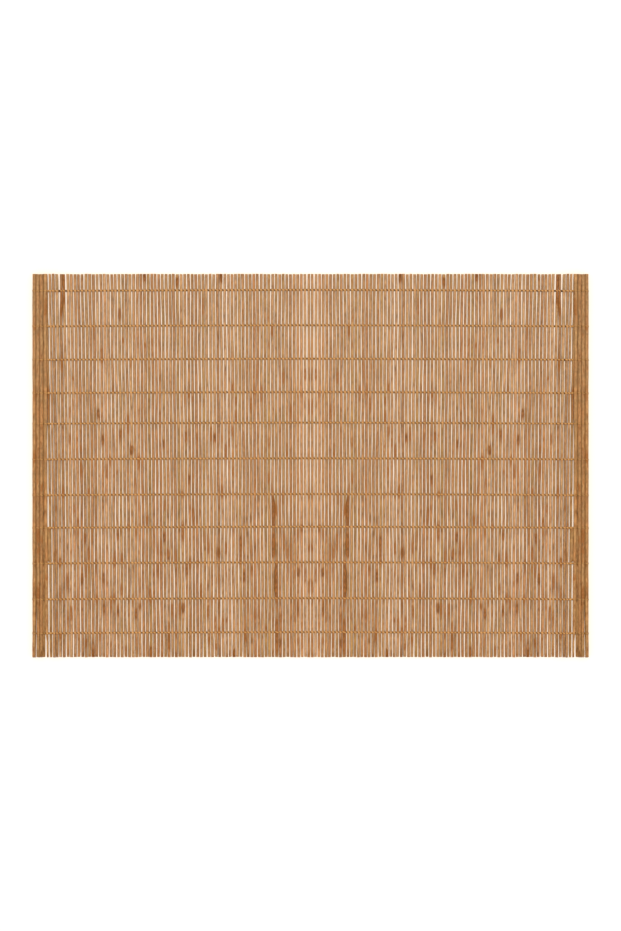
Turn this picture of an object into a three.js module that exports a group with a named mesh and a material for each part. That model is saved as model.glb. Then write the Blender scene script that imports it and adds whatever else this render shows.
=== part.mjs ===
import * as THREE from "three";

// A bamboo placemat lying flat. Split bamboo sticks lie side by side and are held by rows of
// twined thread, and at both ends four sticks are turned under as a hem. X runs along the mat,
// Y along the sticks (far is +Y, near is -Y) and Z up from the table, in millimetres.

// Driving sizes of the whole mat
const LENGTH = 480;
const STICK_LENGTH = 330;
const CLEARANCE = 0.3;

// Sticks: an eight-sided section with bevelled edges
const STICK_WIDTH = 2.3;
const STICK_THICKNESS = 1.3;
const STICK_BEVEL = 0.42;
const WIDTH_SPREAD = 0.2;
const LEAN_SPREAD = 0.18;
const END_SPREAD = 0.8;
const FIELD_STICKS_PER_SIDE = 71;

// The field's sticks lean towards the middle as they come nearer, most beside the hems
const FIELD_LEAN = { most: 3.4, power: 0.6 };

// Links between neighbouring sticks, under the first and the last row of thread
const LINK_THICKNESS = 0.34;
const LINK_LENGTH = 3;

// Thread: a flattened six-sided section
const THREAD_WIDTH = 0.8;
const THREAD_THICKNESS = 0.5;
const THREAD_FLAT = 0.5;
const UNDER_STRAND_END_X = 238.2;
const FOLD_CORNER = 0.75;

// Where the top layer comes down from the hem to the table
const RAMP_START_X = 221.2;
const RAMP_END_X = 208;

// The rows climb a little towards the middle of the mat: linear and squared share of the climb
const ROW_CLIMB = { linear: 0.5, squared: 0.55 };

// Distance of each row of thread from the far ends of the sticks, at the middle of the mat
const THREAD_ROWS = [
  { name: "01", fromFarEdge: 13.8 },
  { name: "02", fromFarEdge: 44.2 },
  { name: "03", fromFarEdge: 73.0 },
  { name: "04", fromFarEdge: 101.7 },
  { name: "05", fromFarEdge: 128.0 },
  { name: "06", fromFarEdge: 158.7 },
  { name: "07", fromFarEdge: 189.5 },
  { name: "08", fromFarEdge: 217.6 },
  { name: "09", fromFarEdge: 248.2 },
  { name: "10", fromFarEdge: 279.1 },
  { name: "11", fromFarEdge: 308.3 },
];

// Top sticks of the hem and the first one past it, from the fold inwards: distance from the
// middle of the mat at the far and the near end, and width
const EDGE_STICKS = [
  { far: 237.75, near: 237.75, width: 2.3 },
  { far: 234.7, near: 234.2, width: 2.3 },
  { far: 231.35, near: 231.6, width: 2.3 },
  { far: 228.0, near: 226.9, width: 2.3 },
  { far: 224.3, near: 220.4, width: 1.95 },
];

// Sticks turned under the hem, from the fold inwards, with the same columns. The last one comes
// out from under the hem on its way to the near end.
const TURNED_STICKS = [
  { far: 236.3, near: 237.75, width: 2.1 },
  { far: 233.0, near: 232.6, width: 2.1 },
  { far: 229.7, near: 229.4, width: 2.1 },
  { far: 227.4, near: 222.5, width: 2.1 },
];

// Heights worked out from the stack of threads and sticks
const HALF_LENGTH = LENGTH / 2;
const HALF_STICK = STICK_LENGTH / 2;
const FOLD_X = HALF_LENGTH - THREAD_THICKNESS - CLEARANCE;
const LAYER_STEP = STICK_THICKNESS / 2 + CLEARANCE + THREAD_THICKNESS / 2;
const FLOOR_THREAD_Z = THREAD_THICKNESS / 2;
const LOW_LAYER_Z = FLOOR_THREAD_Z + LAYER_STEP;
const MIDDLE_THREAD_Z = LOW_LAYER_Z + LAYER_STEP;
const HIGH_LAYER_Z = MIDDLE_THREAD_Z + LAYER_STEP;
const FIELD_PITCH = 3.142;

const FIRST_ROW = THREAD_ROWS.at(0);
const LAST_ROW = THREAD_ROWS.at(-1);

const bamboo = new THREE.MeshStandardMaterial({ color: 0xb08353, roughness: 0.62, metalness: 0 });
const thread = new THREE.MeshStandardMaterial({ color: 0xb98547, roughness: 0.85, metalness: 0 });

/** A repeatable value from -1 to 1 for a stick's number and one of its features. */
function scatter(number, feature) {
  const turn = Math.sin(12.9898 * number + 78.233 * feature) * 43758.5453;
  return 2 * (turn - Math.floor(turn)) - 1;
}

/** Height of the middle of the top layer of sticks at a place along the mat. */
function topLayerZ(x) {
  const share = (Math.abs(x) - RAMP_END_X) / (RAMP_START_X - RAMP_END_X);
  return LOW_LAYER_Z + (HIGH_LAYER_Z - LOW_LAYER_Z) * THREE.MathUtils.clamp(share, 0, 1);
}

/** Slope of the top layer, as an angle about Y. */
function topLayerTilt(x) {
  const onRamp = Math.abs(x) > RAMP_END_X && Math.abs(x) < RAMP_START_X;
  const slope = (HIGH_LAYER_Z - LOW_LAYER_Z) / (RAMP_START_X - RAMP_END_X);
  return onRamp ? Math.sign(x) * Math.atan(slope) : 0;
}

/** Place of a thread row along the sticks, where it crosses a place along the mat. */
function rowY(row, x) {
  const share = Math.abs(x) / HALF_LENGTH;
  const drop = ROW_CLIMB.linear * share + ROW_CLIMB.squared * share * share;
  return HALF_STICK - row.fromFarEdge - drop;
}

/** A stick of either layer, with the uneven ends that its number gives it. */
function makeStick(side, number, place, turned) {
  const tilt = turned ? Math.PI : topLayerTilt(side * place.far);
  const height = (x) => (turned ? LOW_LAYER_Z : topLayerZ(x));
  return {
    width: place.width,
    cos: Math.cos(tilt),
    sin: Math.sin(tilt),
    far: {
      x: side * place.far,
      y: HALF_STICK - (END_SPREAD * (1 + scatter(number, 3))) / 4,
      z: height(place.far),
    },
    near: {
      x: side * place.near,
      y: -HALF_STICK + (END_SPREAD * (1 + scatter(number, 4))) / 4,
      z: height(place.near),
    },
  };
}

/** Distances from the middle of the mat, and width, of a stick of the plain field. */
function fieldPlace(number) {
  const centre = FIELD_PITCH * (number + 0.5);
  const drift = FIELD_LEAN.most * ((number + 0.5) / FIELD_STICKS_PER_SIDE) ** FIELD_LEAN.power;
  const lean = LEAN_SPREAD * scatter(number, 1);
  const width = STICK_WIDTH + WIDTH_SPREAD * scatter(number, 2);
  return { far: centre + lean, near: centre - lean - drift, width };
}

/** One side's top sticks from the middle of the mat out to the fold. */
function topSticks(side) {
  const field = Array.from({ length: FIELD_STICKS_PER_SIDE }, (_, number) =>
    makeStick(side, number, fieldPlace(number), false),
  );
  const edge = EDGE_STICKS.toReversed().map((place, step) =>
    makeStick(side, FIELD_STICKS_PER_SIDE + step, place, false),
  );
  return [...field, ...edge];
}

/** One side's turned-under sticks from the fold inwards. */
function turnedSticks(side) {
  const first = FIELD_STICKS_PER_SIDE + EDGE_STICKS.length;
  return TURNED_STICKS.map((place, step) => makeStick(side, first + step, place, true));
}

/** Collects shared vertices and triangles of one closed body. */
class Body {
  positions = [];
  triangles = [];

  vertex(x, y, z) {
    this.positions.push(x, y, z);
    return this.positions.length / 3 - 1;
  }

  /** Fills a flat outline, given counter-clockwise from outside, from its first corner. */
  fill(corners) {
    for (let next = 2; next < corners.length; next += 1) {
      this.triangles.push(corners[0], corners[next - 1], corners[next]);
    }
  }

  mesh(name, material) {
    const geometry = new THREE.BufferGeometry();
    geometry.setAttribute("position", new THREE.Float32BufferAttribute(this.positions, 3));
    geometry.setIndex(this.triangles);
    geometry.computeVertexNormals();
    const mesh = new THREE.Mesh(geometry, material);
    mesh.name = name;
    return mesh;
  }
}

/** The eight corners of a stick's section, counter-clockwise seen from its near end. */
function stickSection(width) {
  const side = width / 2;
  const flat = side - STICK_BEVEL;
  const top = STICK_THICKNESS / 2;
  const link = LINK_THICKNESS / 2;
  return [
    [side, -link],
    [side, link],
    [flat, top],
    [-flat, top],
    [-side, link],
    [-side, -link],
    [-flat, -top],
    [flat, -top],
  ];
}

/** Places along a stick where its side edges are split, with links or without. */
function stations(stick, linked) {
  if (!linked) {
    return [stick.near.y, stick.far.y];
  }
  const last = rowY(LAST_ROW, stick.near.x);
  const first = rowY(FIRST_ROW, stick.far.x);
  const half = LINK_LENGTH / 2;
  return [stick.near.y, last - half, last + half, first - half, first + half, stick.far.y];
}

/** Adds the vertices of a stick and all its faces but the links, and returns its edges. */
function addStick(body, stick, linkedBefore, linkedAfter) {
  const span = stick.far.y - stick.near.y;
  const linkedEdge = [linkedAfter, linkedAfter, false, false, linkedBefore, linkedBefore, false, false];
  const edges = stickSection(stick.width).map(([across, up], corner) =>
    stations(stick, linkedEdge[corner]).map((y) => {
      const share = (y - stick.near.y) / span;
      const x = THREE.MathUtils.lerp(stick.near.x, stick.far.x, share);
      const z = THREE.MathUtils.lerp(stick.near.z, stick.far.z, share);
      const alongX = across * stick.cos - up * stick.sin;
      const alongZ = across * stick.sin + up * stick.cos;
      return body.vertex(x + alongX, y, z + alongZ);
    }),
  );

  body.fill(edges.map((edge) => edge[0]));
  body.fill(edges.map((edge) => edge.at(-1)).reverse());
  body.fill([edges[2][0], edges[2][1], edges[3][1], edges[3][0]]);
  body.fill([edges[6][0], edges[6][1], edges[7][1], edges[7][0]]);
  for (const [split, plain] of [[1, 2], [5, 6]]) {
    const half = edges[split].length / 2;
    body.fill([edges[plain][0], ...edges[split].slice(0, half + 1), edges[plain][1]]);
    body.fill([edges[plain][1], ...edges[split].slice(half)]);
  }
  for (const [plain, split] of [[3, 4], [7, 0]]) {
    const half = edges[split].length / 2;
    body.fill([...edges[plain], ...edges[split].slice(0, half + 1).reverse()]);
    body.fill([edges[plain][1], ...edges[split].slice(half).reverse()]);
  }
  for (const [from, to] of [[0, 1], [4, 5]]) {
    for (let step = 0; step < edges[from].length; step += 2) {
      body.fill([edges[from][step], edges[from][step + 1], edges[to][step + 1], edges[to][step]]);
    }
  }
  return edges;
}

/** Extra corners of a link that rounds the fold: its outer and its inner surface. */
function foldCorners(body, side, y) {
  return {
    outer: body.vertex(side * FOLD_X, y, MIDDLE_THREAD_Z),
    inner: body.vertex(side * (FOLD_X - LINK_THICKNESS), y, MIDDLE_THREAD_Z),
  };
}

/** Joins two neighbours with a thin link under the first and the last row of thread. */
function addLinks(body, before, after, foldSide) {
  for (const start of [1, 3]) {
    const [low, high] = [start, start + 1].map((station) => {
      const begin = { outer: before[1][station], inner: before[0][station] };
      const end = { outer: after[4][station], inner: after[5][station] };
      const y = body.positions[3 * begin.outer + 1];
      return foldSide ? [begin, foldCorners(body, foldSide, y), end] : [begin, end];
    });
    for (let step = 1; step < low.length; step += 1) {
      const [nearBegin, nearEnd] = [low[step - 1], low[step]];
      const [farBegin, farEnd] = [high[step - 1], high[step]];
      body.fill([nearBegin.outer, nearEnd.outer, farEnd.outer, farBegin.outer]);
      body.fill([nearBegin.inner, farBegin.inner, farEnd.inner, nearEnd.inner]);
      body.fill([nearBegin.inner, nearEnd.inner, nearEnd.outer, nearBegin.outer]);
      body.fill([farBegin.outer, farEnd.outer, farEnd.inner, farBegin.inner]);
    }
  }
}

/** The woven sticks: both turned-under hems and the field between them, in one body. */
function makeMat() {
  const body = new Body();
  const sticks = [
    ...turnedSticks(-1).toReversed(),
    ...topSticks(-1).toReversed(),
    ...topSticks(1),
    ...turnedSticks(1),
  ];
  const leftFold = TURNED_STICKS.length;
  const rightFold = sticks.length - TURNED_STICKS.length;
  let before = null;
  sticks.forEach((stick, number) => {
    const edges = addStick(body, stick, number > 0, number < sticks.length - 1);
    if (before) {
      const foldSide = number === leftFold ? -1 : Number(number === rightFold);
      addLinks(body, before, edges, foldSide);
    }
    before = edges;
  });
  return body.mesh("mat", bamboo);
}

/** Sweeps the thread's section along a route of x and z, following its row in y. */
function makeStrand(name, row, route) {
  const body = new Body();
  const flat = THREAD_FLAT / 2;
  const half = THREAD_THICKNESS / 2;
  const side = THREAD_WIDTH / 2;
  const section = [[side, 0], [flat, half], [-flat, half], [-side, 0], [-flat, -half], [flat, -half]];
  const points = route.map(([x, z]) => new THREE.Vector2(x, z));

  const rings = points.map((point, step) => {
    const into = point.clone().sub(points[Math.max(step - 1, 0)]).normalize();
    const out = points[Math.min(step + 1, points.length - 1)].clone().sub(point).normalize();
    const along = into.clone().add(out).normalize();
    const turn = step === 0 || step === points.length - 1 ? 1 : along.dot(out);
    return section.map(([across, up]) => {
      const reach = up / turn;
      const y = rowY(row, point.x) + across;
      return body.vertex(point.x - along.y * reach, y, point.y + along.x * reach);
    });
  });

  rings.slice(1).forEach((ring, step) => {
    const last = rings[step];
    ring.forEach((corner, index) => {
      const next = (index + 1) % ring.length;
      body.fill([last[index], last[next], ring[next], corner]);
    });
  });
  body.fill(rings[0].toReversed());
  body.fill(rings.at(-1));
  return body.mesh(name, thread);
}

/** Completes a route given from the middle of the mat to its right end, from end to end. */
function mirrored(route) {
  const left = route.slice(1).toReversed();
  return [...left.map(([x, z]) => [-x, z]), ...route];
}

/** The strand over the sticks, round both folds and back under the hems. */
function overStrand(row) {
  const { far: tailFar, near: tailNear } = TURNED_STICKS.at(-1);
  const tailX = THREE.MathUtils.lerp(tailFar, tailNear, row.fromFarEdge / STICK_LENGTH);
  const outerX = HALF_LENGTH - THREAD_THICKNESS / 2;
  const cornerX = outerX - FOLD_CORNER;
  const hemZ = HIGH_LAYER_Z + LAYER_STEP;
  const route = mirrored([
    [0, MIDDLE_THREAD_Z],
    [HALF_LENGTH / 2, MIDDLE_THREAD_Z],
    [RAMP_END_X, MIDDLE_THREAD_Z],
    [RAMP_START_X, hemZ],
    [cornerX, hemZ],
    [outerX, hemZ - FOLD_CORNER],
    [outerX, FLOOR_THREAD_Z + FOLD_CORNER],
    [cornerX, FLOOR_THREAD_Z],
    [tailX, FLOOR_THREAD_Z],
  ]);
  return makeStrand(`thread_${row.name}_over`, row, route);
}

/** The strand under the field and between the two layers of each hem. */
function underStrand(row) {
  const route = mirrored([
    [0, FLOOR_THREAD_Z],
    [HALF_LENGTH / 2, FLOOR_THREAD_Z],
    [RAMP_END_X, FLOOR_THREAD_Z],
    [RAMP_START_X, MIDDLE_THREAD_Z],
    [UNDER_STRAND_END_X, MIDDLE_THREAD_Z],
  ]);
  return makeStrand(`thread_${row.name}_under`, row, route);
}

const placemat = new THREE.Group();
placemat.add(makeMat());
for (const row of THREAD_ROWS) {
  placemat.add(overStrand(row), underStrand(row));
}

export default placemat;
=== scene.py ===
"""Dresses the bamboo placemat: split sticks, twined thread rows, and a pale floor to show it on.

Most of the mat's sizes are those of the solids. They are in millimetres, and a mesh is in metres.
"""

import logging
import math
from bisect import bisect_left
from dataclasses import dataclass, field
from enum import Enum, IntEnum

import bmesh
import bpy
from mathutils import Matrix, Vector
from mathutils.kdtree import KDTree


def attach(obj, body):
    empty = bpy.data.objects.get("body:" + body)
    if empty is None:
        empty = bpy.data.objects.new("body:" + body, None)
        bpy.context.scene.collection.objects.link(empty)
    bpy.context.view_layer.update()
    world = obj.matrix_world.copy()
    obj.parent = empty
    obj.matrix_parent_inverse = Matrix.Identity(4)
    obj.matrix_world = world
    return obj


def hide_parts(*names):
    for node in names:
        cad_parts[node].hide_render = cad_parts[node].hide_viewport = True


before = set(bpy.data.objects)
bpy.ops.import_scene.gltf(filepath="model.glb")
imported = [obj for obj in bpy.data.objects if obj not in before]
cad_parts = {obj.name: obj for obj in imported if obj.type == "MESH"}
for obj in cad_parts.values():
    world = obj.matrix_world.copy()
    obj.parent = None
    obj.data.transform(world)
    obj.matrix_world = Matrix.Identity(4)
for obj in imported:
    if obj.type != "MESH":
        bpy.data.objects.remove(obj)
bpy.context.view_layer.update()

LOG = logging.getLogger("placemat")
MM = 0.001
PHOTO_SIZE = (621, 931)
Colour = tuple[float, float, float, float]
Grain = tuple[float, float, float]
Strand = list[tuple[Vector, float]]
Pieces = dict[str, bpy.types.Object]


class Draw(IntEnum):
    """The uneven features of a stick. Each has a fixed draw of its own."""

    LEAN = 1
    WIDTH = 2
    FAR_END = 3
    NEAR_END = 4
    THICKNESS = 5
    ROLL = 6
    SKEW = 7
    PIECE = 11
    TONE = 12
    CAST = 13
    CAST_STRENGTH = 14
    WEAR = 15
    MARK_PLACE = 32
    MARK_LENGTH = 33
    MARK_STRENGTH = 34
    CENTRE_LINE = 100
    INNER_LINE = 200
    OUTER_LINE = 300


def scatter(number: int, feature: int) -> float:
    """Gives a fixed, uneven number from -1 to 1 for one feature of one stick, as the solids do."""
    turn = math.sin(12.9898 * number + 78.233 * feature) * 43758.5453
    return 2 * (turn - math.floor(turn)) - 1


def bounded(value: float, low: float, high: float) -> float:
    """Keeps a value between two limits."""
    return max(low, min(high, value))


def show(name: str, mesh: bpy.types.Mesh, material: bpy.types.Material) -> bpy.types.Object:
    """Puts a finished mesh in the scene.

    Args:
        name: The piece's name.
        mesh: Its mesh, with its place in its points.
        material: Its finish.

    Returns:
        The new object, at the origin.
    """
    piece = bpy.data.objects.new(name, mesh)
    bpy.context.scene.collection.objects.link(piece)
    mesh.materials.append(material)
    return piece


class Value:
    """A number in a shader, so that sums on it are written as plain Python."""

    def __init__(self, shader: "Shader", socket: bpy.types.NodeSocket) -> None:
        """Wraps an output socket of a shader."""
        self.shader = shader
        self.socket = socket

    def _sum(self, operation: str, first: "Value | float", second: "Value | float" = 0.0) -> "Value":
        """Adds a Math node on one or two numbers, and gives its result."""
        made = self.shader.node("ShaderNodeMath", {"operation": operation}, {0: first, 1: second})
        return Value(self.shader, made.outputs[0])

    def __add__(self, other: "Value | float") -> "Value":
        """Adds a number."""
        return self._sum("ADD", self, other)

    def __radd__(self, other: float) -> "Value":
        """Adds to a number."""
        return self._sum("ADD", other, self)

    def __sub__(self, other: "Value | float") -> "Value":
        """Takes a number away."""
        return self._sum("SUBTRACT", self, other)

    def __rsub__(self, other: float) -> "Value":
        """Takes this away from a number."""
        return self._sum("SUBTRACT", other, self)

    def __mul__(self, other: "Value | float") -> "Value":
        """Multiplies by a number."""
        return self._sum("MULTIPLY", self, other)

    def __rmul__(self, other: float) -> "Value":
        """Multiplies a number by this."""
        return self._sum("MULTIPLY", other, self)

    def __truediv__(self, other: "Value | float") -> "Value":
        """Divides by a number."""
        return self._sum("DIVIDE", self, other)

    def __abs__(self) -> "Value":
        """Drops the sign."""
        return self._sum("ABSOLUTE", self)

    def sine(self) -> "Value":
        """Gives the sine."""
        return self._sum("SINE", self)

    def most(self, other: "Value | float") -> "Value":
        """Gives the larger of two numbers."""
        return self._sum("MAXIMUM", self, other)

    def rise(self, start: float, end: float) -> "Value":
        """Goes smoothly from 0 to 1, or back where start is the larger.

        Args:
            start: Where it is 0.
            end: Where it is 1.

        Returns:
            The smooth step.
        """
        made = self.shader.node(
            "ShaderNodeMapRange",
            {"interpolation_type": "SMOOTHSTEP"},
            {"Value": self, "From Min": start, "From Max": end, "To Min": 0.0, "To Max": 1.0},
        )
        return Value(self.shader, made.outputs[0])


class Shader:
    """One material's nodes, and the few calls that its patterns need."""

    def __init__(self, name: str) -> None:
        """Starts a material with a single surface shader.

        Args:
            name: The material's name.
        """
        self.material = bpy.data.materials.new(name)
        self.material.use_nodes = True
        self.tree = self.material.node_tree
        self.surface = self.tree.nodes["Principled BSDF"]

    def node(
        self,
        kind: str,
        settings: dict[str, object] | None = None,
        sockets: dict[str | int, object] | None = None,
    ) -> bpy.types.Node:
        """Adds a node.

        Args:
            kind: The node's type.
            settings: Its own settings, such as a Math node's operation.
            sockets: What goes into its sockets, numbers or links, by name or place.

        Returns:
            The new node.
        """
        made = self.tree.nodes.new(kind)
        for key, value in (settings or {}).items():
            setattr(made, key, value)
        for key, value in (sockets or {}).items():
            self.feed(made.inputs[key], value)
        return made

    def feed(self, socket: bpy.types.NodeSocket, value: object) -> None:
        """Sets or links one socket.

        Args:
            socket: The input socket.
            value: A plain value, an output socket or a Value.
        """
        source = value.socket if isinstance(value, Value) else value
        if isinstance(source, bpy.types.NodeSocket):
            self.tree.links.new(source, socket)
        else:
            socket.default_value = source

    def attribute(self, name: str) -> tuple[bpy.types.NodeSocket, Value, Value, Value]:
        """Reads one of the mesh's own attributes.

        Args:
            name: The attribute's name.

        Returns:
            The vector, and its three numbers.
        """
        made = self.node("ShaderNodeAttribute", {"attribute_name": name})
        parts = self.node("ShaderNodeSeparateXYZ", None, {0: made.outputs["Vector"]})
        return made.outputs["Vector"], *(Value(self, part) for part in parts.outputs)

    def noise(self, place: bpy.types.NodeSocket, stretch: Grain, detail: float) -> Value:
        """Adds a noise pattern.

        Args:
            place: The coordinates that it lies on.
            stretch: How many of its grains go in one unit, along each axis.
            detail: How many finer layers it has.

        Returns:
            The pattern, about 0.5 on average.
        """
        moved = self.node("ShaderNodeMapping", None, {"Vector": place, "Scale": stretch})
        made = self.node(
            "ShaderNodeTexNoise", None, {"Vector": moved.outputs[0], "Scale": 1.0, "Detail": detail}
        )
        return Value(self, made.outputs["Fac"])

    def mix(self, share: Value | float, first: object, second: object) -> bpy.types.NodeSocket:
        """Mixes two colours or links, and the share is how much of the second shows."""
        made = self.node("ShaderNodeMix", {"data_type": "RGBA"}, {0: share, 6: first, 7: second})
        return made.outputs[2]

    def brighten(self, colour: bpy.types.NodeSocket, factor: Value) -> bpy.types.NodeSocket:
        """Scales a colour's brightness by a number."""
        made = self.node("ShaderNodeVectorMath", {"operation": "SCALE"}, {0: colour, "Scale": factor})
        return made.outputs[0]

    def bump(self, height: Value, depth: float) -> None:
        """Gives the surface a fine relief of a depth in metres, where the height is 1."""
        made = self.node("ShaderNodeBump", None, {"Height": height, "Strength": 1.0, "Distance": depth})
        self.feed(self.surface.inputs["Normal"], made.outputs[0])


@dataclass(frozen=True)
class BambooFinish:
    """Split bamboo: long fibres, brown knots, a dull satin face, and sides painted darker as shade."""

    name: str
    middle: Colour
    # side is painted shade: the colour that the stick's rounded sides darken to, where less light falls
    # on them.
    side: Colour
    knot: Colour = (0.152, 0.056, 0.009, 1)
    rust: Colour = (0.262, 0.102, 0.022, 1)
    stroke: Colour = (0.205, 0.076, 0.013, 1)
    pore: Colour = (0.130, 0.055, 0.017, 1)
    olive: Colour = (0.250, 0.155, 0.036, 1)
    warm: Colour = (0.350, 0.140, 0.042, 1)
    ash: Colour = (0.420, 0.300, 0.190, 1)
    half_width: float = 1.15
    fibre_depth: float = 0.00005
    specular: float = 0.15
    fray: float = 10.0
    fibre_grain: Grain = (5.0, 0.07, 5.0)
    strand_grain: Grain = (1.5, 0.035, 1.5)
    patch_grain: Grain = (0.7, 0.11, 0.7)
    pore_grain: Grain = (4.2, 0.55, 4.2)
    cast_grain: Grain = (0.4, 0.06, 0.4)
    fleck_grain: Grain = (0.9, 0.45, 0.9)
    stroke_grain: Grain = (0.7, 0.13, 0.7)

    def material(self) -> bpy.types.Material:
        """Makes the finish.

        Returns:
            The material, which reads the sticks' own attributes.
        """
        shader = Shader(self.name)
        grain, across, along, _ = shader.attribute("grain")
        _, tone, cast, wear = shader.attribute("stick")
        fibre = shader.noise(grain, self.fibre_grain, 4)
        strand = shader.noise(grain, self.strand_grain, 2)
        patch = shader.noise(grain, self.patch_grain, 2)
        pores = shader.noise(grain, self.pore_grain, 1).rise(0.66, 0.76)
        # Painted shade: the colour goes from middle to side towards the stick's sides, where less light
        # falls.
        edge = abs(across) / self.half_width + (strand - 0.5) * 0.8
        colour = shader.mix(edge.rise(0.38, 1.05), self.middle, self.side)
        drift = cast + (shader.noise(grain, self.cast_grain, 1) - 0.5) * 3
        colour = shader.mix(drift.rise(0.0, 1.3) * 0.5, colour, self.warm)
        colour = shader.mix((drift * -1).rise(0.0, 1.3) * 0.45, colour, self.olive)
        colour = shader.mix(along.rise(-40, 165) * 0.09, colour, self.ash)
        colour = shader.mix(pores * 0.35, colour, self.pore)
        fleck = shader.noise(grain, self.fleck_grain, 1)
        stroke = shader.noise(grain, self.stroke_grain, 1) + along.rise(90, -90) * 0.06
        colour = shader.mix(stroke.rise(0.63, 0.71) * 0.6, colour, self.stroke)
        light = 1 + tone * 0.08 + (fibre - 0.5) * 0.6 + (strand - 0.5) * 0.6
        light = light + (patch - 0.5) * 1.1 + (fleck - 0.5) * 0.9
        colour = shader.brighten(colour, light)
        core = (abs(across + cast * 0.5) / self.half_width).rise(1.0, 0.35) * 0.6 + 0.4
        knots = self._knots(shader, along, strand, fleck) * core
        colour = shader.mix(knots.rise(0.0, 0.55), colour, self.rust)
        colour = shader.mix(knots.rise(0.45, 1.3), colour, self.knot)
        shader.feed(shader.surface.inputs["Base Color"], colour)
        roughness = 0.50 + (fibre - 0.5) * 0.25 + wear * 0.05
        shader.feed(shader.surface.inputs["Roughness"], roughness)
        shader.surface.inputs["Specular IOR Level"].default_value = self.specular
        shader.bump(fibre * 0.6 + strand * 0.8 + knots * 0.5, self.fibre_depth)
        return shader.material

    def _knots(self, shader: Shader, along: Value, strand: Value, fleck: Value) -> Value:
        """Marks the knots, which lie where each stick's attributes say.

        Args:
            shader: The material being made.
            along: The place along the stick, in millimetres.
            strand: A coarse pattern that frays the marks.
            fleck: A pattern of short flecks that mottles them.

        Returns:
            How dark the stick is at each place, from 0 to 1.
        """
        dark: Value | float = 0.0
        for name in KNOT_LAYERS:
            _, middle, reach, strength = shader.attribute(name)
            away = abs(along - middle + (strand - 0.5) * self.fray) / reach
            mark = away.rise(1.1, 0.8) * strength * (0.6 + fleck.rise(0.40, 0.58) * 0.8)
            dark = mark.most(dark)
        return dark


@dataclass(frozen=True)
class ThreadFinish:
    """Twined thread: two plies, light over the sticks, with painted shade where it dips between them.
    """

    name: str = "twined_thread"
    light: Colour = (0.655, 0.372, 0.142, 1)
    # dark is painted shade, for where the thread dips into the gaps between the sticks.
    dark: Colour = (0.085, 0.027, 0.004, 1)
    ply_length: float = 0.95
    ply_depth: float = 0.00007
    specular: float = 0.05
    fluff_grain: Grain = (3.0, 0.4, 0.4)
    slow_grain: Grain = (0.05, 0.1, 0.1)
    hem_start: float = 0.2255
    hem_end: float = 0.2275
    hem_shade: float = 0.37

    def material(self) -> bpy.types.Material:
        """Makes the finish.

        Returns:
            The material, which reads the threads' own attribute.
        """
        shader = Shader(self.name)
        lie, along, turn, rise = shader.attribute("lie")
        twist = ((along * (2 * math.pi / self.ply_length)) + turn * 2).sine()
        fluff = shader.noise(lie, self.fluff_grain, 3)
        slow = shader.noise(lie, self.slow_grain, 1)
        # Painted shade: the thread is mixed towards dark the lower it lies between the sticks.
        colour = shader.mix(rise.rise(0.35, 1.0), self.dark, self.light)
        place = shader.node("ShaderNodeTexCoord").outputs["Object"]
        parts = shader.node("ShaderNodeSeparateXYZ", None, {0: place})
        at_hem = abs(Value(shader, parts.outputs[0])).rise(self.hem_start, self.hem_end)
        light = 1 + twist * 0.09 + (fluff - 0.5) * 0.5 + (slow - 0.5) * 0.5
        light = light - at_hem * self.hem_shade
        shader.feed(shader.surface.inputs["Base Color"], shader.brighten(colour, light))
        shader.feed(shader.surface.inputs["Roughness"], 0.72 + (fluff - 0.5) * 0.2)
        shader.surface.inputs["Specular IOR Level"].default_value = self.specular
        shader.bump(twist * 0.5 + fluff * 0.4, self.ply_depth)
        return shader.material


@dataclass(frozen=True)
class FloorFinish:
    """A plain near-white floor with a very faint mottling."""

    name: str = "pale_floor"
    pale: Colour = (0.94, 0.94, 0.96, 1)
    shade: Colour = (0.91, 0.91, 0.93, 1)

    def material(self) -> bpy.types.Material:
        """Makes the finish.

        Returns:
            The material.
        """
        shader = Shader(self.name)
        place = shader.node("ShaderNodeTexCoord").outputs["Object"]
        mottle = shader.noise(place, (3.0, 3.0, 3.0), 2)
        shader.feed(shader.surface.inputs["Base Color"], shader.mix(mottle, self.pale, self.shade))
        shader.surface.inputs["Roughness"].default_value = 0.9
        shader.surface.inputs["Specular IOR Level"].default_value = 0.0
        return shader.material


class StickTone(Enum):
    """The five tones that the field's sticks are sorted into, each a piece of its own."""

    PALE = "sticks_pale"
    STRAW = "sticks_straw"
    HONEY = "sticks_honey"
    AMBER = "sticks_amber"
    BROWN = "sticks_brown"


HEM_PIECE = "hem_sticks"
KNOT_LAYERS = ("knot_a", "knot_b", "knot_c", "knot_d")
# Each tone's middle colour, and its side colour, which is painted shade on the stick's sides.
TONE_AND_SIDE_SHADE_COLOURS = {
    StickTone.PALE: ((0.390, 0.234, 0.122, 1), (0.222, 0.115, 0.028, 1)),
    StickTone.STRAW: ((0.359, 0.209, 0.102, 1), (0.208, 0.104, 0.024, 1)),
    StickTone.HONEY: ((0.340, 0.192, 0.090, 1), (0.198, 0.095, 0.020, 1)),
    StickTone.AMBER: ((0.328, 0.179, 0.079, 1), (0.190, 0.089, 0.018, 1)),
    StickTone.BROWN: ((0.304, 0.156, 0.067, 1), (0.176, 0.079, 0.016, 1)),
}
FINISHES = {
    tone.value: BambooFinish(f"bamboo_{tone.name.lower()}", middle, side)
    for tone, (middle, side) in TONE_AND_SIDE_SHADE_COLOURS.items()
}
# The hem's side colour is painted shade on its sticks' sides as well.
FINISHES[HEM_PIECE] = BambooFinish("bamboo_hem", (0.312, 0.180, 0.073, 1), (0.288, 0.153, 0.056, 1))


@dataclass(frozen=True)
class Knot:
    """A brown knot on a stick, at the same place in both halves of the mat."""

    from_middle: float
    from_far_edge: float
    length: float = 9.0
    strength: float = 0.9


@dataclass(frozen=True)
class Stretch:
    """A stretch of one stick whose sides lie elsewhere than the mat's even spacing puts them."""

    from_middle: float
    start: float
    end: float
    inner: float
    outer: float
    fade: float = 15.0


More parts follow.
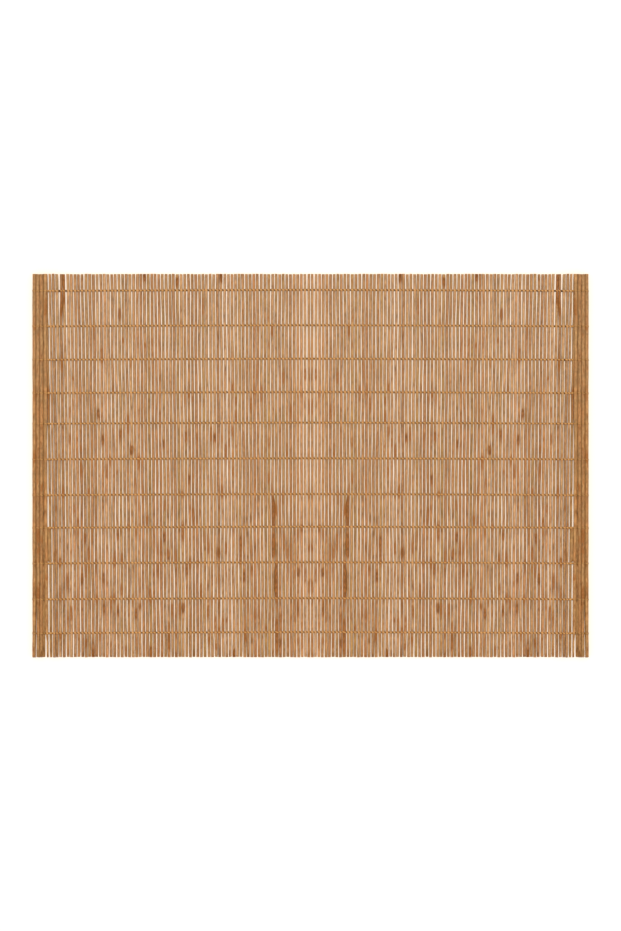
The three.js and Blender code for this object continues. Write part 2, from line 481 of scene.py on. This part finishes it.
@dataclass(frozen=True)
class MatPlan:
    """The mat's sizes, in millimetres. Most of them are the solids' own."""

    length: float = 480.0
    stick_length: float = 330.0
    stick_width: float = 2.3
    stick_thickness: float = 1.3
    stick_bevel: float = 0.42
    end_bevel: float = 0.14
    width_spread: float = 0.2
    lean_spread: float = 0.18
    end_spread: float = 0.8
    field_sticks: int = 71
    field_pitch: float = 3.142
    field_lean: float = 3.4
    lean_power: float = 0.6
    low_z: float = 1.45
    high_z: float = 3.85
    ramp_start: float = 221.2
    ramp_end: float = 208.0
    fold_x: float = 239.1
    rows: tuple[float, ...] = (13.8, 44.2, 73.0, 101.7, 128.0, 158.7, 189.5, 217.6, 248.2, 279.1, 308.3)
    extra_stations: tuple[float, ...] = (219.2, 246.6)
    row_climb: tuple[float, float] = (0.5, 0.55)
    long_span: float = 24.0
    bend_length: float = 2.0
    edge_sticks: tuple[tuple[float, float, float], ...] = (
        (237.75, 237.75, 2.3),
        (234.70, 234.20, 2.3),
        (231.35, 231.60, 2.3),
        (228.15, 226.60, 2.3),  # The solids' is (228.0, 226.9).
        (224.30, 220.40, 1.95),
    )
    turned_sticks: tuple[tuple[float, float, float], ...] = (
        (236.3, 237.75, 2.1),
        (233.0, 232.60, 2.1),
        (229.7, 229.40, 2.1),
        (227.4, 223.30, 2.1),  # The solids' is (227.4, 222.5).
    )

    def layer_height(self, x: float) -> float:
        """Gives the height of the top layer's middle at a place along the mat."""
        share = (abs(x) - self.ramp_end) / (self.ramp_start - self.ramp_end)
        return self.low_z + (self.high_z - self.low_z) * bounded(share, 0, 1)

    def slope(self, x: float) -> float:
        """Gives the top layer's slope at a place along the mat.

        Args:
            x: The place's distance from the mat's middle.

        Returns:
            The slope as an angle, which eases in and out at the ramp's ends.
        """
        edge = min(abs(x) - self.ramp_end, self.ramp_start - abs(x))
        steepest = math.atan2(self.high_z - self.low_z, self.ramp_start - self.ramp_end)
        return steepest * bounded(edge / self.bend_length, 0, 1)

    def row_y(self, from_far_edge: float, x: float) -> float:
        """Gives a thread row's place along the sticks.

        Args:
            from_far_edge: The row's distance from the far edge, at the mat's middle.
            x: The place along the mat.

        Returns:
            The row's y, which climbs down a little towards the hems.
        """
        share = abs(x) / (self.length / 2)
        linear, squared = self.row_climb
        return self.stick_length / 2 - from_far_edge - (linear * share + squared * share * share)

    def stations(self) -> list[float]:
        """Gives the places along a stick at which its sides may turn, from near to far."""
        half = self.stick_length / 2
        marks = [half, *(half - row for row in self.rows), -half]
        places = [half]
        for start, end in zip(marks, marks[1:]):
            parts = 4 if start - end > self.long_span else 3
            places += [start + (end - start) * step / parts for step in range(1, parts + 1)]
        return sorted(places + [half - depth for depth in self.extra_stations])


@dataclass
class Stick:
    """One stick of half the mat. Its sides are distances from the mat's middle."""

    number: int
    far: float
    near: float
    width: float
    turned: bool
    inner: list[float] = field(default_factory=list)
    outer: list[float] = field(default_factory=list)
    knots: list[Knot] = field(default_factory=list)

    def sides_at(self, stations: list[float], y: float) -> tuple[float, float]:
        """Gives the stick's two sides at any place along it.

        Args:
            stations: The places at which the sides are known.
            y: The place along the stick.

        Returns:
            The inner and the outer side.
        """
        place = bounded(y, stations[0], stations[-1])
        index = max(1, bisect_left(stations, place))
        share = (place - stations[index - 1]) / (stations[index] - stations[index - 1])
        inner = self.inner[index - 1] + (self.inner[index] - self.inner[index - 1]) * share
        outer = self.outer[index - 1] + (self.outer[index] - self.outer[index - 1]) * share
        return inner, outer


@dataclass
class StickLayout:
    """Where each stick of half the mat lies, in millimetres. The other half mirrors it."""

    plan: MatPlan
    shared_wave: float = 0.24
    shared_share: float = 0.6
    shared_lengths: tuple[float, float] = (118.0, 71.0)
    shared_steps: tuple[float, float] = (0.047, 0.083)
    shared_start: float = 0.3
    shared_fade: int = 8
    centre_wave: float = 0.05
    side_wave: float = 0.13
    wave_lengths: tuple[float, ...] = (160.0, 62.0, 30.0)
    wave_share: float = 0.4
    wave_spread: float = 0.3
    fuller: float = 0.08
    hem_fuller: float = 0.5
    evenness: float = 0.8
    least_gap: float = 0.05
    least_gap_at_row: float = 0.30
    row_reach: float = 1.0
    parting_rounds: int = 6
    middle_room: float = 0.12
    fold_room: float = 0.6
    knot_swell: float = 0.24
    swell_share: float = 0.75
    least_swell: float = 6.5
    faint_marks: int = 3
    mark_margin: float = 0.02
    mark_span: float = 0.96
    mark_crowding: float = 0.75
    mark_length: float = 10.0
    mark_length_spread: float = 6.0
    mark_strength: float = 0.28
    near_strength: float = 0.14
    near_step: float = 60.0
    near_start: float = 3.0
    middle_bow: float = -0.5
    bow_growth: float = 1.3
    edge_bows: dict[int, float] = field(
        default_factory=lambda: {
            71: 0.6, 72: -1.2, 73: -0.6, 74: -0.6, 75: -0.6, 76: -2.6, 77: -0.6, 78: -0.6, 79: 0.7,
        }
    )
    knots: tuple[Knot, ...] = ()
    stretches: tuple[Stretch, ...] = ()
    stations: list[float] = field(default_factory=list)
    top: list[Stick] = field(default_factory=list)
    turned: list[Stick] = field(default_factory=list)

    def lay(self) -> None:
        """Places all sticks, then parts those that would touch."""
        self.stations = self.plan.stations()
        self._place_sticks()
        self._give_knots()
        for stick in self.top + self.turned:
            self._split_sides(stick)
        self._shift_stretches()
        self._part_neighbours(self.top)
        self._part_neighbours(self.turned[::-1])

    def _place_sticks(self) -> None:
        """Starts from the solids' places, with the sticks a little fuller and more even."""
        plan = self.plan
        for number in range(plan.field_sticks):
            centre = plan.field_pitch * (number + 0.5)
            lean = self.evenness * plan.lean_spread * scatter(number, Draw.LEAN)
            drift = plan.field_lean * ((number + 0.5) / plan.field_sticks) ** plan.lean_power
            spread = self.evenness * plan.width_spread * scatter(number, Draw.WIDTH)
            width = plan.stick_width + self.fuller + spread
            self.top.append(Stick(number, centre + lean, centre - lean - drift, width, False))
        for place, (far, near, width) in enumerate(reversed(plan.edge_sticks)):
            fuller = self.hem_fuller if place else 0
            self.top.append(Stick(plan.field_sticks + place, far, near, width + fuller, False))
        first = plan.field_sticks + len(plan.edge_sticks)
        for place, (far, near, width) in enumerate(plan.turned_sticks):
            fuller = self.hem_fuller if place < len(plan.turned_sticks) - 1 else 0
            self.turned.append(Stick(first + place, far, near, width + fuller, True))

    def _wave(self, number: int, feature: Draw, y: float) -> float:
        """Gives a stick's slow and quick wandering at a place along it.

        Args:
            number: The stick's number.
            feature: Which of its lines wanders.
            y: The place along the stick.

        Returns:
            The wander, from about -1 to 1.
        """
        total = 0.0
        for part, longest in enumerate(self.wave_lengths):
            key = feature + 10 * part
            length = longest * (1 + self.wave_spread * scatter(number, key + 1))
            turn = y / length + scatter(number, key + 2)
            total += self.wave_share * math.sin(2 * math.pi * turn)
        return total

    def _shared(self, number: int, y: float) -> float:
        """Gives the wander that a stick shares with its neighbours.

        Args:
            number: The stick's number.
            y: The place along the stick.

        Returns:
            The wander, in millimetres, which fades towards the hems and the mat's middle.
        """
        from_hem = bounded((self.plan.field_sticks - number) / self.shared_fade, 0, 1)
        fade = from_hem * bounded(number / self.shared_fade, 0, 1)
        slow, quick = self.shared_lengths
        slow_step, quick_step = self.shared_steps
        first = math.sin(2 * math.pi * (y / slow + slow_step * number))
        second = math.sin(2 * math.pi * (y / quick - quick_step * number + self.shared_start))
        return self.shared_wave * fade * (self.shared_share * first + self.shared_share * second)

    def _split_sides(self, stick: Stick) -> None:
        """Gives a stick its two uneven sides."""
        for y in self.stations:
            number = stick.number
            centre = self._centre(stick, y)
            wander = self.centre_wave * self._wave(number, Draw.CENTRE_LINE, y)
            centre += wander + self._shared(number, y)
            swell = self.knot_swell * self._swelling(stick, y)
            inner_wave = self.side_wave * self._wave(number, Draw.INNER_LINE, y)
            outer_wave = self.side_wave * self._wave(number, Draw.OUTER_LINE, y)
            inner = centre - stick.width / 2 + inner_wave - swell
            outer = centre + stick.width / 2 + outer_wave + swell
            stick.inner.append(max(inner, self.middle_room))
            stick.outer.append(min(outer, self.plan.length / 2 - self.fold_room))

    def _centre(self, stick: Stick, y: float) -> float:
        """Gives the middle of a leaning stick, which bows a little.

        Args:
            stick: The stick.
            y: The place along it.

        Returns:
            Its distance from the mat's middle.
        """
        share = 0.5 - y / self.plan.stick_length
        usual = self.middle_bow + self.bow_growth * stick.number / self.plan.field_sticks
        bow = self.edge_bows.get(stick.number, usual)
        return stick.far + (stick.near - stick.far) * (share + bow * share * (1 - share))

    def _swelling(self, stick: Stick, y: float) -> float:
        """Tells how far a stick swells because of its knots.

        Args:
            stick: The stick.
            y: The place along it.

        Returns:
            The swelling there, from 0 to 1.
        """
        swell = 0.0
        for knot in stick.knots:
            reach = max(knot.length * self.swell_share, self.least_swell)
            away = abs(self.plan.stick_length / 2 - knot.from_far_edge - y) / reach
            swell = max(swell, knot.strength * (1 - bounded(away, 0, 1) ** 2))
        return swell

    def _shift_stretches(self) -> None:
        """Moves the sides of the few sticks that stand out in the photograph."""
        for stretch in self.stretches:
            stick = self._nearest(stretch.from_middle, stretch.start, self.top + self.turned[-1:])
            for place, y in enumerate(self.stations):
                depth = self.plan.stick_length / 2 - y
                inside = min(depth - stretch.start, stretch.end - depth) / stretch.fade + 1
                share = bounded(inside, 0, 1)
                stick.inner[place] += stretch.inner * share
                stick.outer[place] += stretch.outer * share

    def _nearest(self, from_middle: float, from_far_edge: float, sticks: list[Stick]) -> Stick:
        """Finds the stick that lies nearest to a place.

        Args:
            from_middle: The place's distance from the mat's middle.
            from_far_edge: Its distance from the far edge.
            sticks: The sticks to choose from.

        Returns:
            The nearest of them.
        """
        y = self.plan.stick_length / 2 - from_far_edge
        return min(sticks, key=lambda stick: abs(self._centre(stick, y) - from_middle))

    def _part_neighbours(self, sticks: list[Stick]) -> None:
        """Parts the sticks of a layer where they would overlap.

        Args:
            sticks: The layer's sticks, from the middle outwards.
        """
        half = self.plan.stick_length / 2
        rows = [half - row for row in self.plan.rows]
        for place, y in enumerate(self.stations):
            at_row = min(abs(y - row) for row in rows) < self.row_reach
            gap = self.least_gap_at_row if at_row else self.least_gap
            for _ in range(self.parting_rounds):
                for left, right in zip(sticks, sticks[1:]):
                    short = left.outer[place] + gap - right.inner[place]
                    if short > 0:
                        left.outer[place] -= short / 2
                        right.inner[place] += short / 2

    def _give_knots(self) -> None:
        """Puts each knot on the stick that lies nearest to it, and fainter marks on all sticks."""
        for knot in self.knots:
            free = [stick for stick in self.top if len(stick.knots) < len(KNOT_LAYERS)]
            self._nearest(knot.from_middle, knot.from_far_edge, free).knots.append(knot)
        for stick in self.top + self.turned:
            for extra in range(self.faint_marks):
                if len(stick.knots) == len(KNOT_LAYERS):
                    break
                stick.knots.append(self._faint_mark(stick, 3 * extra))

    def _faint_mark(self, stick: Stick, step: int) -> Knot:
        """Draws one of a stick's fainter marks, which are stronger towards the near edge.

        Args:
            stick: The stick.
            step: How far the mark's draws lie from the first mark's.

        Returns:
            The mark.
        """
        draw = (scatter(stick.number, Draw.MARK_PLACE + step) + 1) / 2
        depth = self.plan.stick_length * (self.mark_margin + self.mark_span * draw**self.mark_crowding)
        length_draw = scatter(stick.number, Draw.MARK_LENGTH + step)
        length = self.mark_length + self.mark_length_spread * length_draw
        strength_draw = scatter(stick.number, Draw.MARK_STRENGTH + step)
        strength = self.mark_strength + self.mark_strength * strength_draw
        strength += self.near_strength * bounded(depth / self.near_step - self.near_start, 0, 1)
        return Knot(stick.far, depth, length, strength)


@dataclass
class StickBundles:
    """All sticks of the mat, in pieces by tone, with the hems' sticks as one piece more."""

    plan: MatPlan
    layout: StickLayout
    roll_spread: float = 3.5
    thickness_spread: float = 0.06
    skew_spread: float = 0.16
    middle_tone: float = 1.1
    middle_reach: int = 30
    grain_step: float = 10.0
    shares: tuple[tuple[StickTone, float], ...] = (
        (StickTone.PALE, 0.14),
        (StickTone.STRAW, 0.34),
        (StickTone.HONEY, 0.66),
        (StickTone.AMBER, 0.86),
        (StickTone.BROWN, 1.0),
    )
    blank: bpy.types.Mesh | None = None

    def build(self) -> Pieces:
        """Makes the pieces.

        Returns:
            Each piece by its name.
        """
        self.blank = self._cut_blank()
        groups: dict[str, list[Stick]] = {name: [] for name in FINISHES}
        for stick in self.layout.top + self.layout.turned:
            groups[self._piece_of(stick)].append(stick)
        pieces = {}
        for name, sticks in groups.items():
            mesh = self._bundle(name, sticks)
            pieces[name] = show(name, mesh, FINISHES[name].material())
            LOG.info("%s: %d sticks", name, 2 * len(sticks))
        bpy.data.meshes.remove(self.blank)
        return pieces

    def _piece_of(self, stick: Stick) -> str:
        """Sorts a stick into a piece by its place and tone.

        Args:
            stick: The stick.

        Returns:
            The piece's name.
        """
        if stick.turned or stick.number > self.plan.field_sticks:
            return HEM_PIECE
        draw = (scatter(stick.number, Draw.PIECE) + 1) / 2
        for tone, limit in self.shares:
            if draw <= limit:
                return tone.value
        return StickTone.BROWN.value

    def _cut_blank(self) -> bpy.types.Mesh:
        """Cuts the straight stick that all others are bent from.

        Returns:
            The blank's mesh, in millimetres, cut through at each station.
        """
        plan = self.plan
        form = bmesh.new()
        bmesh.ops.create_cube(form, size=1)
        size = Vector((plan.stick_width, plan.stick_length, plan.stick_thickness))
        bmesh.ops.scale(form, vec=size, verts=form.verts)
        long_edges = [e for e in form.edges if abs(e.verts[0].co.y - e.verts[1].co.y) > 1]
        self._bevel(form, long_edges, plan.stick_bevel)
        half = plan.stick_length / 2
        end_edges = [e for e in form.edges if all(abs(v.co.y) > half - 0.01 for v in e.verts)]
        self._bevel(form, end_edges, plan.end_bevel)
        for station in self.layout.stations[1:-1]:
            bmesh.ops.bisect_plane(
                form, geom=form.verts[:] + form.edges[:] + form.faces[:],
                plane_co=(0, station, 0), plane_no=(0, 1, 0),
            )
        for face in form.faces:
            face.smooth = abs(face.normal.y) < 0.9
        blank = bpy.data.meshes.new("stick_blank")
        form.to_mesh(blank)
        form.free()
        return blank

    @staticmethod
    def _bevel(form: bmesh.types.BMesh, edges: list[bmesh.types.BMEdge], width: float) -> None:
        """Takes off edges with one facet of a width in millimetres."""
        bmesh.ops.bevel(
            form, geom=edges, offset=width, offset_type="OFFSET", segments=1,
            profile=0.5, affect="EDGES", material=-1, clamp_overlap=True,
        )

    def _bundle(self, name: str, sticks: list[Stick]) -> bpy.types.Mesh:
        """Bends a copy of the blank for each stick, on both sides of the mat.

        Args:
            name: The mesh's name.
            sticks: The piece's sticks.

        Returns:
            The piece's mesh, in metres.
        """
        form = bmesh.new()
        names = ("grain", "stick", *KNOT_LAYERS)
        layers = {key: form.verts.layers.float_vector.new(key) for key in names}
        for stick in sticks:
            for side in (-1, 1):
                start = len(form.verts)
                form.from_mesh(self.blank)
                form.verts.ensure_lookup_table()
                self._bend(form.verts[start:], stick, side, layers)
        bmesh.ops.recalc_face_normals(form, faces=form.faces)
        mesh = bpy.data.meshes.new(name)
        form.to_mesh(mesh)
        form.free()
        return mesh

    def _bend(
        self,
        verts: list[bmesh.types.BMVert],
        stick: Stick,
        side: int,
        layers: dict[str, bmesh.types.BMLayerItem],
    ) -> None:
        """Bends one copy of the blank into a stick.

        Args:
            verts: The copy's points.
            stick: The stick that it becomes.
            side: -1 for the left half of the mat, 1 for the right half.
            layers: The mesh's attributes.
        """
        plan = self.plan
        number = stick.number
        half = plan.stick_length / 2
        ends = (
            -half + plan.end_spread * (1 + scatter(number, Draw.NEAR_END)) / 4,
            half - plan.end_spread * (1 + scatter(number, Draw.FAR_END)) / 4,
        )
        thick = 1 + self.thickness_spread * scatter(number, Draw.THICKNESS)
        roll = math.radians(self.roll_spread * scatter(number, Draw.ROLL))
        skew = self.skew_spread * scatter(number, Draw.SKEW)
        lighter = self.middle_tone * max(0, 1 - number / self.middle_reach)
        tone = scatter(number, Draw.TONE) + lighter
        cast = scatter(number, Draw.CAST) * abs(scatter(number, Draw.CAST_STRENGTH))
        traits = Vector((tone, cast, scatter(number, Draw.WEAR)))
        knots = [self._knot_trait(stick, index) for index in range(len(KNOT_LAYERS))]
        for vert in verts:
            local = vert.co.copy()
            inner, outer = stick.sides_at(self.layout.stations, local.y)
            middle = (inner + outer) / 2
            across = local.x * (outer - inner) / plan.stick_width
            up = local.z * thick
            along = local.y
            if abs(local.y) > half - 1:
                end = ends[1] if local.y > 0 else ends[0]
                from_end = local.y - math.copysign(half, local.y)
                along = end + from_end + skew * local.x / plan.stick_width
            lift = plan.low_z if stick.turned else plan.layer_height(middle)
            angle = roll + (0 if stick.turned else plan.slope(middle))
            x = middle + across * math.cos(angle) - up * math.sin(angle)
            z = lift + across * math.sin(angle) + up * math.cos(angle)
            vert[layers["grain"]] = Vector((local.x, along, local.z + self.grain_step * number))
            vert[layers["stick"]] = traits
            for key, trait in zip(KNOT_LAYERS, knots):
                vert[layers[key]] = trait
            vert.co = Vector((side * x, along, z)) * MM

    def _knot_trait(self, stick: Stick, index: int) -> Vector:
        """Gives one of a stick's knots as the shader reads it.

        Args:
            stick: The stick.
            index: Which of its knots.

        Returns:
            The knot's place, half length and strength, which is 0 where there is none.
        """
        if index >= len(stick.knots):
            return Vector((0, 1, 0))
        knot = stick.knots[index]
        return Vector((self.plan.stick_length / 2 - knot.from_far_edge, knot.length / 2, knot.strength))


@dataclass(frozen=True)
class Crossing:
    """Where a thread row meets a stick: the stick's middle and half width, and the cloth's heading."""

    x: float
    z: float
    half: float
    direction: tuple[float, float]


@dataclass
class ThreadRow:
    """One row of two strands that are twined around every stick and both folds."""

    name: str
    from_far_edge: float
    plan: MatPlan
    layout: StickLayout
    radius: float = 0.37
    side_step: float = 0.37
    overhang: float = 0.02
    shoulder: float = 0.62
    shoulder_rise: float = 0.95
    edge_rise: float = 0.62
    hem_light: float = 0.9
    strand_step: float = 600.0

    def build(self, material: bpy.types.Material) -> bpy.types.Object:
        """Makes the row as one piece.

        Args:
            material: The thread's finish.

        Returns:
            The row.
        """
        crossings = self._crossings()
        form = bmesh.new()
        form.verts.layers.float_vector.new("lie")
        for strand in (0, 1):
            self._add_tube(form, self._strand_points(crossings, strand), strand)
        mesh = bpy.data.meshes.new(self.name)
        form.to_mesh(mesh)
        form.free()
        LOG.info("%s: %d faces", self.name, len(mesh.polygons))
        return show(self.name, mesh, material)

    def _crossings(self) -> list[Crossing]:
        """Follows the cloth from the left hem's inner end round both folds to the right hem's.

        Returns:
            The places at which the row meets a stick, in order.
        """
        order = [(stick, -1) for stick in self.layout.turned[::-1] + self.layout.top[::-1]]
        order += [(stick, 1) for stick in self.layout.top + self.layout.turned]
        found = []
        for stick, side in order:
            y = self.plan.row_y(self.from_far_edge, stick.far)
            inner, outer = stick.sides_at(self.layout.stations, y)
            x = (inner + outer) / 2
            if stick.turned:
                found.append(Crossing(side * x, self.plan.low_z, (outer - inner) / 2, (-1.0, 0.0)))
                continue
            slope = side * self.plan.slope(x)
            heading = (math.cos(slope), math.sin(slope))
            found.append(Crossing(side * x, self.plan.layer_height(x), (outer - inner) / 2, heading))
        return found

    def _strand_points(self, crossings: list[Crossing], strand: int) -> Strand:
        """Winds one strand over and under the sticks.

        Args:
            crossings: Where the row meets the sticks.
            strand: 0 or 1, which of the two strands.

        Returns:
            The points of the strand's line, in millimetres, each with how light it is painted, from 0
            in a gap, where it is painted dark as shade, to 1 on a stick's face. In the hems' closed
            gaps it stays light.
        """
        reach = self.plan.stick_thickness / 2 + self.radius
        points = []
        for index, spot in enumerate(crossings):
            over = 1 if (index + strand) % 2 else -1
            lateral = self.side_step * over
            along_x, along_z = spot.direction
            start, end = -spot.half - self.overhang, spot.half + self.overhang
            steps = (
                (start, self.edge_rise),
                (start * self.shoulder, self.shoulder_rise),
                (0.0, 1.0),
                (end * self.shoulder, self.shoulder_rise),
                (end, self.edge_rise),
            )
            # Each step's rise lifts the strand and also sets how light it is painted, so its painted
            # shade deepens past a stick's edge.
            for step, rise in steps:
                lift = over * rise * reach
                x = spot.x + along_x * step - along_z * lift
                z = spot.z + along_z * step + along_x * lift
                aside = lateral * -math.sin(math.pi / 2 * step / end)
                y = self.plan.row_y(self.from_far_edge, x) + aside
                points.append((Vector((x, y, z)), rise))
            if index + 1 < len(crossings):
                following = crossings[index + 1]
                # A gap point is painted dark as shade, but stays light in the hems' closed gaps.
                outermost = max(abs(spot.x), abs(following.x))
                light = self.hem_light if outermost > self.plan.ramp_start else 0.0
                points.append((self._gap_point(spot, following, -lateral), light))
        return points

    def _gap_point(self, spot: Crossing, following: Crossing, lateral: float) -> Vector:
        """Gives the strand's place between two sticks.

        Args:
            spot: The stick before the gap.
            following: The stick after it.
            lateral: How far the strand lies to one side of the row.

        Returns:
            The point, in millimetres.
        """
        if spot.direction[0] * following.direction[0] < 0:
            x = math.copysign(self.plan.fold_x, spot.x)
            z = (spot.z + following.z) / 2
        else:
            before = spot.x + spot.direction[0] * spot.half
            after = following.x - following.direction[0] * following.half
            x = (before + after) / 2
            z = (spot.z + following.z) / 2
        return Vector((x, self.plan.row_y(self.from_far_edge, x) + lateral, z))

    def _add_tube(self, form: bmesh.types.BMesh, points: Strand, strand: int) -> None:
        """Adds a strand to the row's mesh as a closed tube.

        Args:
            form: The row's mesh.
            points: The strand's line, as _strand_points gives it.
            strand: 0 or 1, which of the two strands.
        """
        curve = bpy.data.curves.new("strand", "CURVE")
        curve.dimensions = "3D"
        curve.bevel_depth = self.radius * MM
        curve.bevel_resolution = 1
        curve.use_fill_caps = True
        spline = curve.splines.new("POLY")
        spline.points.add(len(points) - 1)
        for point, (place, _) in zip(spline.points, points):
            point.co = (*(place * MM), 1)
        holder = bpy.data.objects.new("strand", curve)
        tube = bpy.data.meshes.new_from_object(holder)
        start = len(form.verts)
        form.from_mesh(tube)
        form.verts.ensure_lookup_table()
        fresh = form.verts[start:]
        bmesh.ops.remove_doubles(form, verts=fresh, dist=1e-6)
        form.verts.ensure_lookup_table()
        bpy.data.objects.remove(holder)
        bpy.data.curves.remove(curve)
        bpy.data.meshes.remove(tube)
        self._mark_lie(form, form.verts[start:], points, strand)
        for face in form.faces:
            face.smooth = True
        bmesh.ops.recalc_face_normals(form, faces=form.faces)

    def _mark_lie(
        self,
        form: bmesh.types.BMesh,
        verts: list[bmesh.types.BMVert],
        points: Strand,
        strand: int,
    ) -> None:
        """Notes how each point of a strand lies, and how light it is painted, for its finish.

        Args:
            form: The row's mesh.
            verts: The strand's points in the mesh.
            points: The strand's line, as _strand_points gives it.
            strand: 0 or 1, which of the two strands.
        """
        layer = form.verts.layers.float_vector["lie"]
        line = KDTree(len(points))
        for index, (place, _) in enumerate(points):
            line.insert(place, index)
        line.balance()
        for vert in verts:
            place = vert.co / MM
            light = points[line.find(place)[1]][1]
            turn = (place.y - self.plan.row_y(self.from_far_edge, place.x)) / self.radius
            vert[layer] = Vector((place.x + self.strand_step * strand, turn, light))


@dataclass
class Studio:
    """The floor, the light and the camera. None of them is part of the mat."""

    floor_size: float = 14.0
    sky: float = 0.62
    sun: float = 2.62
    sun_colour: tuple[float, float, float] = (1.0, 0.80, 0.59)
    sun_angle: float = 7.0
    sun_lean: float = 8.0
    lens: float = 200.0
    sensor: float = 36.0
    millimetres_per_pixel: float = 0.8604
    aim_z: float = 2.5

    def build(self) -> None:
        """Sets up the studio."""
        self._lay_floor()
        self._hang_lights()
        self._place_camera()

    def _lay_floor(self) -> None:
        """Lays a wide plain floor under the mat."""
        form = bmesh.new()
        bmesh.ops.create_grid(form, x_segments=2, y_segments=2, size=self.floor_size / 2)
        mesh = bpy.data.meshes.new("floor")
        form.to_mesh(mesh)
        form.free()
        show("floor", mesh, FloorFinish().material())

    def _hang_lights(self) -> None:
        """Lights the mat from above, in line with the sticks, so that the gaps stay bright."""
        world = bpy.data.worlds.new("studio")
        world.use_nodes = True
        world.node_tree.nodes["Background"].inputs["Color"].default_value = (1, 1, 1, 1)
        world.node_tree.nodes["Background"].inputs["Strength"].default_value = self.sky
        bpy.context.scene.world = world
        light = bpy.data.lights.new("overhead", "SUN")
        light.energy = self.sun
        light.color = self.sun_colour
        light.angle = math.radians(self.sun_angle)
        lamp = bpy.data.objects.new("overhead", light)
        lamp.rotation_euler = (math.radians(-self.sun_lean), 0, 0)
        bpy.context.scene.collection.objects.link(lamp)

    def _place_camera(self) -> None:
        """Looks straight down, so that the mat fills the frame as in the photograph."""
        height = PHOTO_SIZE[1] * self.millimetres_per_pixel * MM
        camera = bpy.data.cameras.new("camera")
        camera.lens = self.lens
        camera.sensor_width = self.sensor
        camera.clip_end = 100
        holder = bpy.data.objects.new("camera", camera)
        holder.location = (0, 0, height * self.lens / self.sensor + self.aim_z * MM)
        bpy.context.scene.collection.objects.link(holder)
        bpy.context.scene.camera = holder
        bpy.context.scene.view_settings.view_transform = "Standard"


# Each knot's distance from the middle and from the far edge, and where they differ from the usual
# ones, its length and strength.
KNOT_TABLE = (
    (213.4, 12.0, 30, 0.75), (215.4, 24.0, 26, 0.70), (165.6, 35.3), (141.5, 2.6), (113.1, 6.9),
    (77.9, 3.4), (182.0, 120.5), (179.4, 142.8), (163.9, 138.5), (154.0, 151.4), (125.2, 146.3),
    (108.8, 140.2), (81.7, 141.1), (103.7, 177.2), (32.3, 205.0, 30, 0.85),
    (32.2, 233.0, 22, 0.95), (29.0, 265.0, 38, 0.85), (28.8, 312.0, 34, 0.80), (194.0, 228.0),
    (165.1, 224.6), (124.3, 226.3), (120.9, 241.8), (59.8, 229.7), (80.0, 240.0),
    (161.7, 245.2), (105.4, 253.8), (11.2, 257.3), (58.1, 260.7), (196.6, 262.4),
    (177.7, 262.4), (176.8, 289.1), (165.1, 290.8), (149.3, 292.5), (108.8, 287.4),
    (27.1, 318.3), (187.1, 327.0), (136.4, 325.2), (66.7, 327.0),
)
KNOTS = tuple(Knot(*entry) for entry in KNOT_TABLE)
STRETCHES = (
    Stretch(215.2, 0.0, 24.0, -0.55, -0.85, 16.0),
    Stretch(212.1, 0.0, 24.0, 0.45, 0.40, 16.0),
    Stretch(223.6, 219.0, 247.0, 0.0, 2.40, 0.5),
    Stretch(227.0, 312.0, 330.0, 0.0, -1.20, 5.0),
    Stretch(32.4, 196.0, 240.0, -0.50, -0.15, 8.0),
    Stretch(29.1, 252.0, 276.0, 0.05, 0.45, 8.0),
    Stretch(28.8, 300.0, 330.0, -0.20, 0.15, 8.0),
)


def declare(sticks: Pieces, threads: list[bpy.types.Object]) -> None:
    """Hangs each piece under the root body, and hides the solids that the pieces stand in for.

    Args:
        sticks: The stick pieces by name.
        threads: The thread rows.
    """
    for piece in sticks.values():
        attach(piece, "root")
        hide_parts("mat")
    for number, piece in enumerate(threads, 1):
        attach(piece, "root")
        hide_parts(f"thread_{number:02d}_over", f"thread_{number:02d}_under")


def main() -> None:
    """Builds the mat and its studio."""
    logging.basicConfig(level=logging.INFO, format="%(message)s")
    plan = MatPlan()
    layout = StickLayout(plan, knots=KNOTS, stretches=STRETCHES)
    layout.lay()
    sticks = StickBundles(plan, layout).build()
    thread = ThreadFinish().material()
    rows = []
    for number, from_far_edge in enumerate(plan.rows, 1):
        rows.append(ThreadRow(f"thread_row_{number:02d}", from_far_edge, plan, layout).build(thread))
    declare(sticks, rows)
    Studio().build()
    bpy.context.view_layer.update()


if __name__ == "__main__":
    main()
